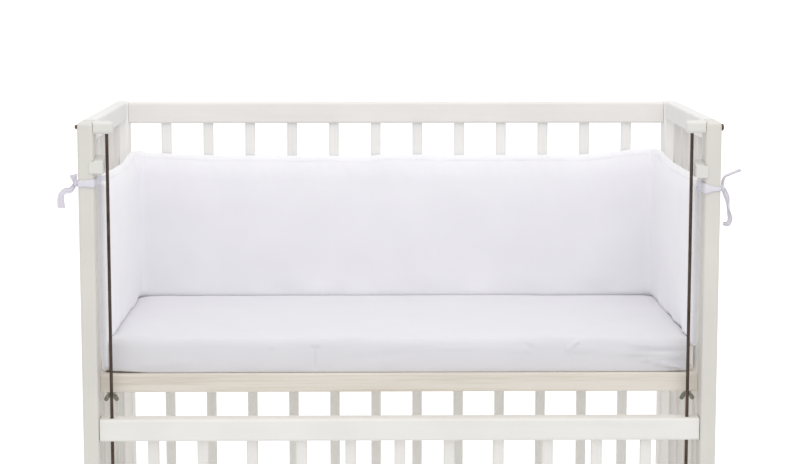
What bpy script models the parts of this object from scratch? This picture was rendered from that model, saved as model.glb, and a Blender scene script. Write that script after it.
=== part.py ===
"""Padded crib bumper in a small bedside crib.

A three-sided padded bumper stands round the mattress of an open-sided wooden crib and is tied to its two
front posts. The open side has been lowered on its guide rods. Metres, +Z up, +Y to the back of the crib.
The origin is on the floor, under the middle of the crib.
"""
import math

import bmesh
import bpy
from mathutils import Matrix, Vector

COLLECTION = "crib_bumper"
GAP = 0.0003

# Crib as a whole
CRIB_WIDTH = 0.964
CRIB_DEPTH = 0.486
CRIB_HEIGHT = 0.830
FRONT = -CRIB_DEPTH / 2
BACK = CRIB_DEPTH / 2

# Posts
POST_WIDTH = 0.0235
POST_DEPTH = 0.045
POST_ROUND = 0.004
POST_TOP_ROUND = 0.0065
POST_FOOT_ROUND = 0.002
POST_X = CRIB_WIDTH / 2 - POST_WIDTH / 2
INSIDE_X = CRIB_WIDTH / 2 - POST_WIDTH

# Bars and rails
BAR_WIDTH = 0.017
BAR_THICK = 0.012
BAR_ROUND = 0.003
RAIL_ROUND = 0.003
LOW_RAIL_BOTTOM = 0.060
END_RAIL_HEIGHT = 0.031
END_RAIL_THICK = 0.020
END_BARS = 4
BACK_RAIL_HEIGHT = 0.0355
BACK_RAIL_THICK = 0.022
BACK_RAIL_DROP = 0.0020
BACK_RAIL_Y = BACK - 0.012 - BACK_RAIL_THICK / 2
BACK_BARS = 12

# Lowered side and its rods
SIDE_TOP = 0.3755
SIDE_BOTTOM = 0.030
SIDE_RAIL_HEIGHT = 0.034
SIDE_RAIL_DEPTH = 0.031
SIDE_CLEARANCE = 0.001
SIDE_Y = FRONT + 0.019
SIDE_RAIL_Y = SIDE_Y + 0.0025
SIDE_BARS = 11
SIDE_BAR_PITCH = 0.0754
ROD_X = 0.440
ROD_RADIUS = 0.0025
ROD_BORE_RADIUS = 0.0033
ROD_BLOCK_WIDTH = 0.0290
ROD_BLOCK_DEPTH = 0.040
ROD_BLOCK_END_DEPTH = 0.019
ROD_BLOCK_HEIGHT = 0.018
ROD_BLOCK_ROUND = 0.0045
FOOT_BLOCK_BOTTOM = 0.008
# the stop blocks' underside, and how far each laps over its post's front face
STOPS = {
    "left": dict(bottom=0.7530, lap=0.0065),
    "right": dict(bottom=0.7453, lap=0.0040),
}
STOP_WIDTH = 0.0138
STOP_PROUD = 0.0012
STOP_FRONT_HEIGHT = 0.0176
STOP_BACK_HEIGHT = 0.0248
STOP_DEPTH = 0.040

# Mattress base
BASE_TOP = 0.440
BASE_RAIL_HEIGHT = 0.028
BASE_RAIL_THICK = 0.020
BASE_FRONT_Y = FRONT + 0.0345 + BASE_RAIL_THICK / 2
BASE_BACK_Y = BACK_RAIL_Y - BAR_THICK / 2 - GAP - BASE_RAIL_THICK / 2
BASE_BOARD_THICK = 0.012
WING_NUT_X = 0.4437
WING_NUT_Y = FRONT + 0.046
WING_NUT_HUB_RADIUS = 0.0048
WING_NUT_HUB_HEIGHT = 0.008
WASHER_RADIUS = 0.0082
WASHER_THICK = 0.0013
WING_LENGTH = 0.0125
WING_HEIGHT = 0.0065
WING_THICK = 0.0024
WING_SPLAY = 58
WING_OUT = 0.0065
WING_DROP = 0.0055

# Bumper: plan of its outer face, which leans on the posts and the back bars
BUMPER_X = INSIDE_X - GAP
BUMPER_FRONT = FRONT + POST_DEPTH + 0.0024
BUMPER_BACK = BACK_RAIL_Y - BAR_THICK / 2 - GAP
BUMPER_CORNER = 0.032
BUMPER_SQUEEZED = 0.009
BUMPER_MIDDLE = 0.0065
BUMPER_WING_STEPS = 9
BUMPER_CORNER_STEPS = 6
BUMPER_BACK_STEPS = 24
BUMPER_END_TAPER = 0.014
# from the bottom edge (0) to the top edge (1): where the outer and the inner face lie, inwards
BUMPER_PROFILE = [
    dict(rise=0.000, outer=0.0035, inner=0.0060),
    dict(rise=0.015, outer=0.0012, inner=0.0082),
    dict(rise=0.060, outer=0.0004, inner=BUMPER_SQUEEZED),
    dict(rise=0.125, outer=0.0000, inner=BUMPER_SQUEEZED),
    dict(rise=0.150, outer=0.0000, inner=0.0096),
    dict(rise=0.168, outer=0.0000, inner=0.0150),
    dict(rise=0.215, outer=0.0000, inner=0.0178),
    dict(rise=0.320, outer=0.0000, inner=0.0186),
    dict(rise=0.500, outer=0.0000, inner=0.0195),
    dict(rise=0.700, outer=0.0000, inner=0.0190),
    dict(rise=0.860, outer=0.0002, inner=0.0168),
    dict(rise=0.930, outer=0.0012, inner=0.0138),
    dict(rise=0.965, outer=0.0024, inner=0.0112),
    dict(rise=0.985, outer=0.0022, inner=0.0110),
    dict(rise=1.000, outer=0.0052, inner=0.0080),
]
# along the bumper, from the left front end (0) to the right front end (1)
BUMPER_EDGES = [
    dict(along=0.000, top=0.7330, bottom=0.4560),
    dict(along=0.006, top=0.7425, bottom=0.4530),
    dict(along=0.020, top=0.7445, bottom=0.4520),
    dict(along=0.090, top=0.7400, bottom=0.4500),
    dict(along=0.160, top=0.7370, bottom=0.4500),
    dict(along=0.215, top=0.7430, bottom=0.4500),
    dict(along=0.237, top=0.7463, bottom=0.4500),
    dict(along=0.250, top=0.7421, bottom=0.4500),
    dict(along=0.300, top=0.7390, bottom=0.4500),
    dict(along=0.400, top=0.7369, bottom=0.4500),
    dict(along=0.468, top=0.7363, bottom=0.4500),
    dict(along=0.490, top=0.7386, bottom=0.4500),
    dict(along=0.530, top=0.7384, bottom=0.4500),
    dict(along=0.570, top=0.7372, bottom=0.4500),
    dict(along=0.660, top=0.7381, bottom=0.4500),
    dict(along=0.692, top=0.7390, bottom=0.4500),
    dict(along=0.720, top=0.7434, bottom=0.4500),
    dict(along=0.755, top=0.7483, bottom=0.4500),
    dict(along=0.790, top=0.7420, bottom=0.4500),
    dict(along=0.850, top=0.7385, bottom=0.4500),
    dict(along=0.920, top=0.7400, bottom=0.4560),
    dict(along=0.980, top=0.7425, bottom=0.4740),
    dict(along=0.994, top=0.7410, bottom=0.4800),
    dict(along=1.000, top=0.7310, bottom=0.4860),
]

# Mattress in its fitted sheet, which presses the bumper's lower edge against the crib
MATTRESS_HALF_LENGTH = BUMPER_X - BUMPER_SQUEEZED - GAP
MATTRESS_FRONT = FRONT + 0.0455
MATTRESS_BACK = BUMPER_BACK - BUMPER_SQUEEZED - GAP
MATTRESS_FRONT_CORNER = 0.012
MATTRESS_BACK_CORNER = 0.027
MATTRESS_LEAST_CORNER = 0.0085
MATTRESS_CORNER_STEPS = 6
MATTRESS_BOTTOM = BASE_TOP + GAP
# height above the base, and how far the outline is drawn in there at the front and at the other sides
MATTRESS_PROFILE = [
    dict(height=0.0000, front=0.0070, side=0.0050),
    dict(height=0.0035, front=0.0025, side=0.0016),
    dict(height=0.0110, front=0.0004, side=0.0000),
    dict(height=0.0250, front=0.0000, side=0.0000),
    dict(height=0.0400, front=0.0005, side=0.0000),
    dict(height=0.0470, front=0.0024, side=0.0003),
    dict(height=0.0515, front=0.0058, side=0.0012),
    dict(height=0.0540, front=0.0105, side=0.0030),
    dict(height=0.0552, front=0.0170, side=0.0062),
    dict(height=0.0560, front=0.0420, side=0.0300),
    dict(height=0.0565, front=0.1000, side=0.1000),
]

# Ties
TIE_THICK = 0.0012
TIE_DRAW = 2.2
TIE_CORNER = 0.0045
TIE_LEFT_Z = 0.7378
TIE_RIGHT_Z = 0.7285
# the tape's width at the post's inner and outer face
TIE_LEFT_BAND = (0.0136, 0.0098)
TIE_RIGHT_BAND = (0.0175, 0.0060)
KNOT_RADIUS = 0.0046
KNOT_SHAPE = (0.72, 1.0, 1.15)
KNOT_Y = FRONT + 0.008
# free ends from the knot on: place beside the post's outer face, in front of the knot, above the knot,
# the tape's width, and its turn about its own run in degrees
TIE_LEFT_UP = [
    dict(out=0.0008, front=0.0012, up=-0.0005, width=0.0040, turn=4),
    dict(out=0.0022, front=0.0020, up=0.0060, width=0.0080, turn=10),
    dict(out=0.0032, front=0.0035, up=0.0135, width=0.0124, turn=15),
]
TIE_LEFT_DOWN = [
    dict(out=0.0006, front=-0.0008, up=0.0004, width=0.0045, turn=-5),
    dict(out=0.0075, front=0.0020, up=-0.0100, width=0.0085, turn=10),
    dict(out=0.0165, front=0.0030, up=-0.0120, width=0.0095, turn=35),
    dict(out=0.0222, front=0.0030, up=-0.0205, width=0.0108, turn=25),
    dict(out=0.0220, front=0.0020, up=-0.0370, width=0.0120, turn=10),
]
TIE_RIGHT_UP = [
    dict(out=0.0005, front=-0.001, up=0.0000, width=0.0045, turn=40),
    dict(out=0.0012, front=-0.008, up=0.0085, width=0.0045, turn=60),
    dict(out=0.0040, front=-0.008, up=0.0165, width=0.0050, turn=75),
    dict(out=0.0115, front=-0.005, up=0.0212, width=0.0055, turn=70),
    dict(out=0.0265, front=-0.001, up=0.0285, width=0.0060, turn=60),
]
TIE_RIGHT_DOWN = [
    dict(out=0.0010, front=0.000, up=0.0000, width=0.0055, turn=0),
    dict(out=0.0048, front=0.002, up=-0.0090, width=0.0085, turn=15),
    dict(out=0.0077, front=0.003, up=-0.0170, width=0.0075, turn=40),
    dict(out=0.0085, front=0.003, up=-0.0255, width=0.0045, turn=75),
    dict(out=0.0105, front=0.002, up=-0.0360, width=0.0060, turn=40),
    dict(out=0.0122, front=0.001, up=-0.0455, width=0.0075, turn=20),
    dict(out=0.0090, front=0.001, up=-0.0535, width=0.0075, turn=8),
    dict(out=0.0015, front=0.001, up=-0.0530, width=0.0055, turn=5),
]


def clear_scene():
    for obj in list(bpy.data.objects):
        bpy.data.objects.remove(obj, do_unlink=True)


def new_collection(name):
    collection = bpy.data.collections.new(name)
    bpy.context.scene.collection.children.link(collection)
    return collection


def material(name, colour, roughness, metallic=0.0):
    mat = bpy.data.materials.new(name)
    mat.use_nodes = True
    shader = mat.node_tree.nodes["Principled BSDF"]
    shader.inputs["Base Color"].default_value = (*colour, 1.0)
    shader.inputs["Roughness"].default_value = roughness
    shader.inputs["Metallic"].default_value = metallic
    mat.diffuse_color = (*colour, 1.0)
    return mat


def add_object(name, bm, mat, place=(0, 0, 0)):
    bmesh.ops.recalc_face_normals(bm, faces=bm.faces)
    mesh = bpy.data.meshes.new(name)
    bm.to_mesh(mesh)
    bm.free()
    mesh.materials.append(mat)
    obj = bpy.data.objects.new(name, mesh)
    obj.location = place
    parts.objects.link(obj)
    return obj


def rounded_box(name, centre, size, mat, radius, along="XYZ", segments=2):
    """A box whose edges parallel to the letters in along are rounded."""
    bm = bmesh.new()
    bmesh.ops.create_cube(bm, size=1.0)
    bmesh.ops.scale(bm, vec=size, verts=bm.verts)
    axes = {"X": 0, "Y": 1, "Z": 2}
    chosen = []
    for edge in bm.edges:
        run = edge.verts[0].co - edge.verts[1].co
        if any(abs(run[axes[letter]]) > 0.5 * size[axes[letter]] for letter in along):
            chosen.append(edge)
    bmesh.ops.bevel(bm, geom=chosen, offset=radius, segments=segments, profile=0.5, affect="EDGES")
    return add_object(name, bm, mat, centre)


def mesh_from_rings(rings, closed=False):
    """A skin over rings of points. It is capped at both ends, or joined round if closed."""
    bm = bmesh.new()
    loops = [[bm.verts.new(point) for point in ring] for ring in rings]
    count = len(loops[0])
    pairs = list(zip(loops, loops[1:]))
    if closed:
        pairs.append((loops[-1], loops[0]))
    for near, far in pairs:
        for i in range(count):
            j = (i + 1) % count
            bm.faces.new((near[i], near[j], far[j], far[i]))
    if not closed:
        bm.faces.new(loops[0])
        bm.faces.new(loops[-1])
    return bm


def read_table(rows, key, value, at):
    """The value at a place in a table of rows, smoothly between them."""
    if at <= rows[0][key]:
        return rows[0][value]
    for low, high in zip(rows, rows[1:]):
        if at <= high[key]:
            share = (at - low[key]) / (high[key] - low[key])
            ease = share * share * (3 - 2 * share)
            return low[value] + (high[value] - low[value]) * ease
    return rows[-1][value]


def rounded_outline(half_x, half_y, radius, steps):
    """Points round a rectangle with round corners, anticlockwise from the right front corner."""
    points = []
    for corner, (sx, sy) in enumerate(((1, -1), (1, 1), (-1, 1), (-1, -1))):
        start = (corner - 1) * math.pi / 2
        for step in range(steps + 1):
            angle = start + step / steps * math.pi / 2
            points.append(Vector((
                sx * (half_x - radius) + radius * math.cos(angle),
                sy * (half_y - radius) + radius * math.sin(angle))))
    return points


def cut(obj, cutter):
    modifier = obj.modifiers.new("cut", "BOOLEAN")
    modifier.operation = "DIFFERENCE"
    modifier.object = cutter


def fuse(obj, others):
    for other in others:
        modifier = obj.modifiers.new("fuse", "BOOLEAN")
        modifier.operation = "UNION"
        modifier.object = other


def as_guide(obj):
    parts.objects.unlink(obj)
    cutters.objects.link(obj)
    obj.hide_render = True
    obj.display_type = "WIRE"
    return obj


def cylinder(name, centre, radius, height, mat, sides=16):
    bm = bmesh.new()
    bmesh.ops.create_cone(bm, cap_ends=True, segments=sides, radius1=radius, radius2=radius, depth=height)
    return add_object(name, bm, mat, centre)


def bar_places(count, pitch):
    return [(i - (count - 1) / 2) * pitch for i in range(count)]


def even_pitch(span, count, width):
    return (span + width) / (count + 1)


def post_rings():
    """Outlines of a post up its height, with a small edge at the foot and a soft, round top."""
    levels = [(0.0, POST_FOOT_ROUND), (POST_FOOT_ROUND, 0.0)]
    steps = 4
    for step in range(steps + 1):
        angle = step / steps * math.pi / 2
        levels.append((CRIB_HEIGHT - POST_TOP_ROUND * (1 - math.sin(angle)),
                       POST_TOP_ROUND * (1 - math.cos(angle))))
    rings = []
    for height, inset in levels:
        radius = POST_ROUND - inset * 0.4
        outline = rounded_outline(POST_WIDTH / 2 - inset, POST_DEPTH / 2 - inset, radius, 3)
        rings.append([(point.x, point.y, height) for point in outline])
    return rings


def build_posts():
    for side, sx in (("left", -1), ("right", 1)):
        for end, y in (("front", FRONT + POST_DEPTH / 2), ("back", BACK - POST_DEPTH / 2)):
            place = (sx * POST_X, y, 0)
            add_object(f"post_{end}_{side}", mesh_from_rings(post_rings()), white_paint, place)


def build_end_panels():
    span = CRIB_DEPTH - 2 * POST_DEPTH
    rail_size = (END_RAIL_THICK, span - 2 * GAP, END_RAIL_HEIGHT)
    bar_bottom = LOW_RAIL_BOTTOM + END_RAIL_HEIGHT + GAP
    bar_top = CRIB_HEIGHT - END_RAIL_HEIGHT - GAP
    bar_size = (BAR_THICK, BAR_WIDTH, bar_top - bar_bottom)
    for side, sx in (("left", -1), ("right", 1)):
        for rail, bottom in (("top", CRIB_HEIGHT - END_RAIL_HEIGHT), ("bottom", LOW_RAIL_BOTTOM)):
            centre = (sx * POST_X, 0, bottom + END_RAIL_HEIGHT / 2)
            rounded_box(f"end_{side}_{rail}_rail", centre, rail_size, white_paint, RAIL_ROUND, "Y")
        for i, y in enumerate(bar_places(END_BARS, even_pitch(span, END_BARS, BAR_WIDTH)), 1):
            centre = (sx * POST_X, y, (bar_bottom + bar_top) / 2)
            rounded_box(f"end_{side}_bar_{i}", centre, bar_size, white_paint, BAR_ROUND, "Z")


def build_back_panel():
    span = 2 * INSIDE_X
    top = CRIB_HEIGHT - BACK_RAIL_DROP
    rail_size = (span - 2 * GAP, BACK_RAIL_THICK, BACK_RAIL_HEIGHT)
    bar_bottom = LOW_RAIL_BOTTOM + BACK_RAIL_HEIGHT + GAP
    bar_top = top - BACK_RAIL_HEIGHT - GAP
    bar_size = (BAR_WIDTH, BAR_THICK, bar_top - bar_bottom)
    for rail, bottom in (("top", top - BACK_RAIL_HEIGHT), ("bottom", LOW_RAIL_BOTTOM)):
        centre = (0, BACK_RAIL_Y, bottom + BACK_RAIL_HEIGHT / 2)
        rounded_box(f"back_{rail}_rail", centre, rail_size, white_paint, RAIL_ROUND, "X")
    for i, x in enumerate(bar_places(BACK_BARS, even_pitch(span, BACK_BARS, BAR_WIDTH)), 1):
        centre = (x, BACK_RAIL_Y, (bar_bottom + bar_top) / 2)
        rounded_box(f"back_bar_{i:02d}", centre, bar_size, white_paint, BAR_ROUND, "Z")


def build_lowered_side():
    rail_size = (2 * (INSIDE_X - SIDE_CLEARANCE), SIDE_RAIL_DEPTH, SIDE_RAIL_HEIGHT)
    bores = []
    for side, sx in (("left", -1), ("right", 1)):
        centre = (sx * ROD_X, SIDE_Y, SIDE_TOP / 2)
        bore = cylinder(f"rod_bore_{side}", centre, ROD_BORE_RADIUS, SIDE_TOP, dark_steel)
        bores.append(as_guide(bore))
    for rail, bottom in (("top", SIDE_TOP - SIDE_RAIL_HEIGHT), ("bottom", SIDE_BOTTOM)):
        centre = (0, SIDE_RAIL_Y, bottom + SIDE_RAIL_HEIGHT / 2)
        obj = rounded_box(f"side_{rail}_rail", centre, rail_size, white_paint, RAIL_ROUND, "X")
        for bore in bores:
            cut(obj, bore)
    bar_bottom = SIDE_BOTTOM + SIDE_RAIL_HEIGHT + GAP
    bar_top = SIDE_TOP - SIDE_RAIL_HEIGHT - GAP
    bar_size = (BAR_WIDTH, BAR_THICK, bar_top - bar_bottom)
    for i, x in enumerate(bar_places(SIDE_BARS, SIDE_BAR_PITCH), 1):
        centre = (x, SIDE_Y, (bar_bottom + bar_top) / 2)
        rounded_box(f"side_bar_{i:02d}", centre, bar_size, white_paint, BAR_ROUND, "Z")


def bevel_away_from(bm, x, radius, segments):
    """Rounds the edges, apart from those that lie in the plane at x, where a piece meets its post."""
    chosen = [edge for edge in bm.edges if any(abs(vert.co.x - x) > 1e-5 for vert in edge.verts)]
    bmesh.ops.bevel(bm, geom=chosen, offset=radius, segments=segments, profile=0.5, affect="EDGES")


def build_rod_block(name, sx, bottom):
    """A block on the post's inner face, shallower at its free end, that holds a rod's end."""
    outer = sx * (INSIDE_X - GAP)
    inner = outer - sx * ROD_BLOCK_WIDTH
    front = FRONT + 0.002
    plan = [(outer, front), (inner, front), (inner, front + ROD_BLOCK_END_DEPTH),
            (outer, front + ROD_BLOCK_DEPTH)]
    bm = mesh_from_rings([[(x, y, z) for x, y in plan] for z in (bottom, bottom + ROD_BLOCK_HEIGHT)])
    bevel_away_from(bm, outer, ROD_BLOCK_ROUND, 3)
    add_object(name, bm, white_paint)


def build_rods_and_blocks():
    top_block_bottom = CRIB_HEIGHT - ROD_BLOCK_HEIGHT
    foot_block_top = FOOT_BLOCK_BOTTOM + ROD_BLOCK_HEIGHT
    rod_length = top_block_bottom - foot_block_top - 2 * GAP
    for side, sx in (("left", -1), ("right", 1)):
        for place, bottom in (("top", top_block_bottom), ("foot", FOOT_BLOCK_BOTTOM)):
            build_rod_block(f"rod_{place}_block_{side}", sx, bottom)
        centre = (sx * ROD_X, SIDE_Y, (top_block_bottom + foot_block_top) / 2)
        cylinder(f"rod_{side}", centre, ROD_RADIUS, rod_length, dark_steel, 16)
        build_stop_block(side, sx)


def build_stop_block(side, sx):
    """A small block round the post's inner front edge, its top sloping up to the back."""
    row = STOPS[side]
    face = INSIDE_X - GAP
    front = FRONT - STOP_PROUD
    back = front + STOP_DEPTH
    plan = [
        (INSIDE_X + row["lap"], front),
        (face - STOP_WIDTH, front),
        (face - STOP_WIDTH, back),
        (face, back),
        (face, FRONT - GAP),
        (INSIDE_X + row["lap"], FRONT - GAP),
    ]
    slope = (STOP_BACK_HEIGHT - STOP_FRONT_HEIGHT) / STOP_DEPTH
    low = [(sx * x, y, row["bottom"]) for x, y in plan]
    high = [(sx * x, y, row["bottom"] + STOP_FRONT_HEIGHT + slope * (y - front)) for x, y in plan]
    bm = mesh_from_rings([low, high])
    bevel_away_from(bm, sx * face, 0.0004, 1)
    add_object(f"stop_block_{side}", bm, white_paint)


def build_base():
    span = 2 * (INSIDE_X - GAP)
    rail_size = (span, BASE_RAIL_THICK, BASE_RAIL_HEIGHT)
    for rail, y in (("front", BASE_FRONT_Y), ("back", BASE_BACK_Y)):
        centre = (0, y, BASE_TOP - BASE_RAIL_HEIGHT / 2)
        rounded_box(f"base_{rail}_rail", centre, rail_size, bare_wood, 0.0015, "X")
    board_front = BASE_FRONT_Y + BASE_RAIL_THICK / 2 + GAP
    board_back = BASE_BACK_Y - BASE_RAIL_THICK / 2 - GAP
    centre = (0, (board_front + board_back) / 2, BASE_TOP - BASE_BOARD_THICK / 2)
    size = (span, board_back - board_front, BASE_BOARD_THICK)
    rounded_box("base_board", centre, size, bare_wood, 0.001, "X", 1)


def build_wing_nut(side, sx):
    """A hub with a washer under the base rail, and two ears that splay down and out."""
    top = BASE_TOP - BASE_RAIL_HEIGHT - GAP
    place = Vector((sx * WING_NUT_X, WING_NUT_Y, top - WING_NUT_HUB_HEIGHT / 2))
    hub = cylinder(f"wing_nut_{side}", place, WING_NUT_HUB_RADIUS, WING_NUT_HUB_HEIGHT, grey_metal, 20)
    washer_place = (place.x, place.y, top - WASHER_THICK / 2 - GAP)
    washer = cylinder(f"washer_{side}", washer_place, WASHER_RADIUS, WASHER_THICK, grey_metal, 20)
    extras = [as_guide(washer)]
    for name, way in (("a", -1), ("b", 1)):
        size = (WING_LENGTH, WING_THICK, WING_HEIGHT)
        ear = rounded_box(f"ear_{side}_{name}", place, size, grey_metal, 0.003, "Y", 3)
        ear.rotation_euler = (0, way * math.radians(WING_SPLAY), 0)
        ear.location = place + Vector((way * WING_OUT, 0, -WING_DROP))
        extras.append(as_guide(ear))
    fuse(hub, extras)


def mattress_ring(front_inset, side_inset, z):
    """The mattress's outline at one height, its back corners rounder than its front ones."""
    half_x = MATTRESS_HALF_LENGTH - side_inset
    front = MATTRESS_FRONT + front_inset
    back = MATTRESS_BACK - side_inset
    ring = []
    for corner, (sx, sy) in enumerate(((1, -1), (1, 1), (-1, 1), (-1, -1))):
        full = MATTRESS_FRONT_CORNER if sy < 0 else MATTRESS_BACK_CORNER
        radius = max(full - side_inset / 2, MATTRESS_LEAST_CORNER)
        centre_x = sx * (half_x - radius)
        centre_y = front + radius if sy < 0 else back - radius
        for step in range(MATTRESS_CORNER_STEPS + 1):
            angle = (corner - 1 + step / MATTRESS_CORNER_STEPS) * math.pi / 2
            ring.append((centre_x + radius * math.cos(angle), centre_y + radius * math.sin(angle), z))
    return ring


def build_mattress():
    rings = [mattress_ring(row["front"], row["side"], MATTRESS_BOTTOM + row["height"])
             for row in MATTRESS_PROFILE]
    add_object("mattress", mesh_from_rings(rings), sheet_cotton)


def bumper_plan():
    """Stations along the outer face: place, way inwards, and share of the way along."""
    stations = []
    wing = BUMPER_BACK - BUMPER_CORNER - BUMPER_FRONT
    straight = 2 * (BUMPER_X - BUMPER_CORNER)
    arc = BUMPER_CORNER * math.pi / 2
    total = 2 * wing + 2 * arc + straight

    def add(x, y, inward, distance):
        stations.append((Vector((x, y, 0)), Vector((*inward, 0)), distance / total))

    ends = [0.0, 0.003, 0.008, BUMPER_END_TAPER]
    steps = ends + [
        BUMPER_END_TAPER + (wing - BUMPER_END_TAPER) * i / BUMPER_WING_STEPS
        for i in range(1, BUMPER_WING_STEPS)]
    for run in steps:
        add(-BUMPER_X, BUMPER_FRONT + run, (1, 0), run)
    for i in range(BUMPER_CORNER_STEPS):
        angle = i / BUMPER_CORNER_STEPS * math.pi / 2
        outward = Vector((-math.cos(angle), math.sin(angle)))
        x = -BUMPER_X + BUMPER_CORNER + BUMPER_CORNER * outward.x
        y = BUMPER_BACK - BUMPER_CORNER + BUMPER_CORNER * outward.y
        add(x, y, -outward, wing + BUMPER_CORNER * angle)
    for i in range(BUMPER_BACK_STEPS + 1):
        x = (i / BUMPER_BACK_STEPS - 0.5) * straight
        add(x, BUMPER_BACK, (0, -1), wing + arc + straight / 2 + x)
    for place, inward, share in reversed(stations[:len(steps) + BUMPER_CORNER_STEPS]):
        stations.append((Vector((-place.x, place.y, 0)), Vector((-inward.x, inward.y, 0)), 1 - share))
    return stations, total


def build_bumper():
    stations, total = bumper_plan()
    rises = [row["rise"] for row in BUMPER_PROFILE]
    rings = []
    for place, inward, share in stations:
        top = read_table(BUMPER_EDGES, "along", "top", share)
        bottom = read_table(BUMPER_EDGES, "along", "bottom", share)
        from_end = min(share, 1 - share) * total
        fullness = math.sqrt(min(1.0, 0.12 + 0.88 * from_end / BUMPER_END_TAPER))
        ring = []
        for column, order in (("outer", rises), ("inner", rises[::-1])):
            for rise in order:
                depth = read_table(BUMPER_PROFILE, "rise", column, rise)
                depth = BUMPER_MIDDLE + (depth - BUMPER_MIDDLE) * fullness
                point = place + inward * depth
                point.z = bottom + (top - bottom) * rise
                ring.append(point)
        rings.append(ring)
    add_object("bumper", mesh_from_rings(rings), bumper_cotton)


def tape(name, points, widths, flats, mat):
    """A flat tape along points, as wide as widths, its width along flats."""
    rings = []
    last = len(points) - 1
    for i, point in enumerate(points):
        run = (points[min(i + 1, last)] - points[max(i - 1, 0)]).normalized()
        flat = (flats[i] - run * flats[i].dot(run)).normalized()
        thick = run.cross(flat) * TIE_THICK / 2
        half = flat * widths[i] / 2
        rings.append([point - half - thick, point + half - thick, point + half + thick, point - half + thick])
    return add_object(name, mesh_from_rings(rings), mat)


def smooth_rows(rows, per_row=4):
    """Rows added between those of a table, along a smooth curve through them."""
    out = []
    keys = rows[0].keys()
    for i in range(len(rows) - 1):
        before = rows[max(i - 1, 0)]
        low, high = rows[i], rows[i + 1]
        after = rows[min(i + 2, len(rows) - 1)]
        for step in range(per_row):
            t = step / per_row
            row = {}
            for key in keys:
                a, b, c, d = before[key], low[key], high[key], after[key]
                row[key] = 0.5 * (2 * b + (c - a) * t + (2 * a - 5 * b + 4 * c - d) * t * t
                                  + (3 * b - a - 3 * c + d) * t ** 3)
            out.append(row)
    out.append(dict(rows[-1]))
    return out


def tie_end(name, rows, knot, sx):
    points, widths, flats = [], [], []
    rows = smooth_rows(rows)
    for row in rows:
        points.append(knot + Vector((sx * row["out"], -row["front"], row["up"])))
        widths.append(row["width"])
    last = len(points) - 1
    for i, row in enumerate(rows):
        run = (points[min(i + 1, last)] - points[max(i - 1, 0)]).normalized()
        across = run.cross(Vector((0, -1, 0)))
        turn = Matrix.Rotation(math.radians(row["turn"]), 3, run)
        flats.append(turn @ across)
    return as_guide(tape(name, points, widths, flats, tie_cotton))


def build_tie(side, sx, z, up_rows, down_rows, band_widths):
    """A tape round the front post, knotted at the post's outer face, with two free ends."""
    width_inside, width_outside = band_widths
    half_x = POST_WIDTH / 2 + GAP + TIE_THICK / 2
    half_y = POST_DEPTH / 2 + GAP + TIE_THICK / 2
    rings = []
    for point in rounded_outline(half_x, half_y, TIE_CORNER, 4):
        normal = Vector((point.x / half_x, point.y / half_y))
        normal = Vector((math.copysign(max(abs(normal.x) - 0.7, 0), normal.x),
                         math.copysign(max(abs(normal.y) - 0.85, 0), normal.y)))
        normal = normal.normalized() * TIE_THICK / 2
        inwards = max((1 - sx * point.x / half_x) / 2, 0.0)
        width = width_outside + (width_inside - width_outside) * inwards ** TIE_DRAW
        centre = Vector((sx * POST_X + point.x, FRONT + POST_DEPTH / 2 + point.y, z))
        skin = Vector((normal.x, normal.y, 0))
        half = Vector((0, 0, width / 2))
        rings.append([centre - skin - half, centre + skin - half, centre + skin + half, centre - skin + half])
    band = add_object(f"tie_{side}", mesh_from_rings(rings, closed=True), tie_cotton)
    knot = Vector((sx * (CRIB_WIDTH / 2 + GAP + KNOT_RADIUS * 0.75), KNOT_Y, z))
    bm = bmesh.new()
    bmesh.ops.create_uvsphere(bm, u_segments=14, v_segments=9, radius=KNOT_RADIUS)
    bmesh.ops.scale(bm, vec=KNOT_SHAPE, verts=bm.verts)
    lump = as_guide(add_object(f"knot_{side}", bm, tie_cotton, knot))
    ends = [
        tie_end(f"end_up_{side}", up_rows, knot, sx),
        tie_end(f"end_down_{side}", down_rows, knot, sx),
    ]
    fuse(band, [lump] + ends)


clear_scene()
parts = new_collection(COLLECTION)
cutters = new_collection("cutters")

white_paint = material("white_paint", (0.84, 0.82, 0.79), 0.42)
bare_wood = material("cream_wood", (0.76, 0.68, 0.58), 0.55)
dark_steel = material("dark_steel", (0.09, 0.065, 0.05), 0.38, 0.8)
grey_metal = material("grey_metal", (0.42, 0.44, 0.38), 0.35, 1.0)
bumper_cotton = material("bumper_cotton", (0.86, 0.86, 0.90), 0.88)
sheet_cotton = material("sheet_cotton", (0.86, 0.86, 0.89), 0.90)
tie_cotton = material("tie_cotton", (0.83, 0.82, 0.89), 0.88)

build_posts()
build_end_panels()
build_back_panel()
build_lowered_side()
build_rods_and_blocks()
build_base()
build_wing_nut("left", -1)
build_wing_nut("right", 1)
build_mattress()
build_bumper()
build_tie("left", -1, TIE_LEFT_Z, TIE_LEFT_UP, TIE_LEFT_DOWN, TIE_LEFT_BAND)
build_tie("right", 1, TIE_RIGHT_Z, TIE_RIGHT_UP, TIE_RIGHT_DOWN, TIE_RIGHT_BAND)
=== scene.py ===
"""Looks for a padded crib bumper tied into a small white bedside crib with its mattress.

Every piece is in metres in the frame's own coordinates: +Z up, +Y to the back, the origin on the floor.
"""
import math

import bmesh
import bpy
from mathutils import Matrix, Vector, noise


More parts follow.
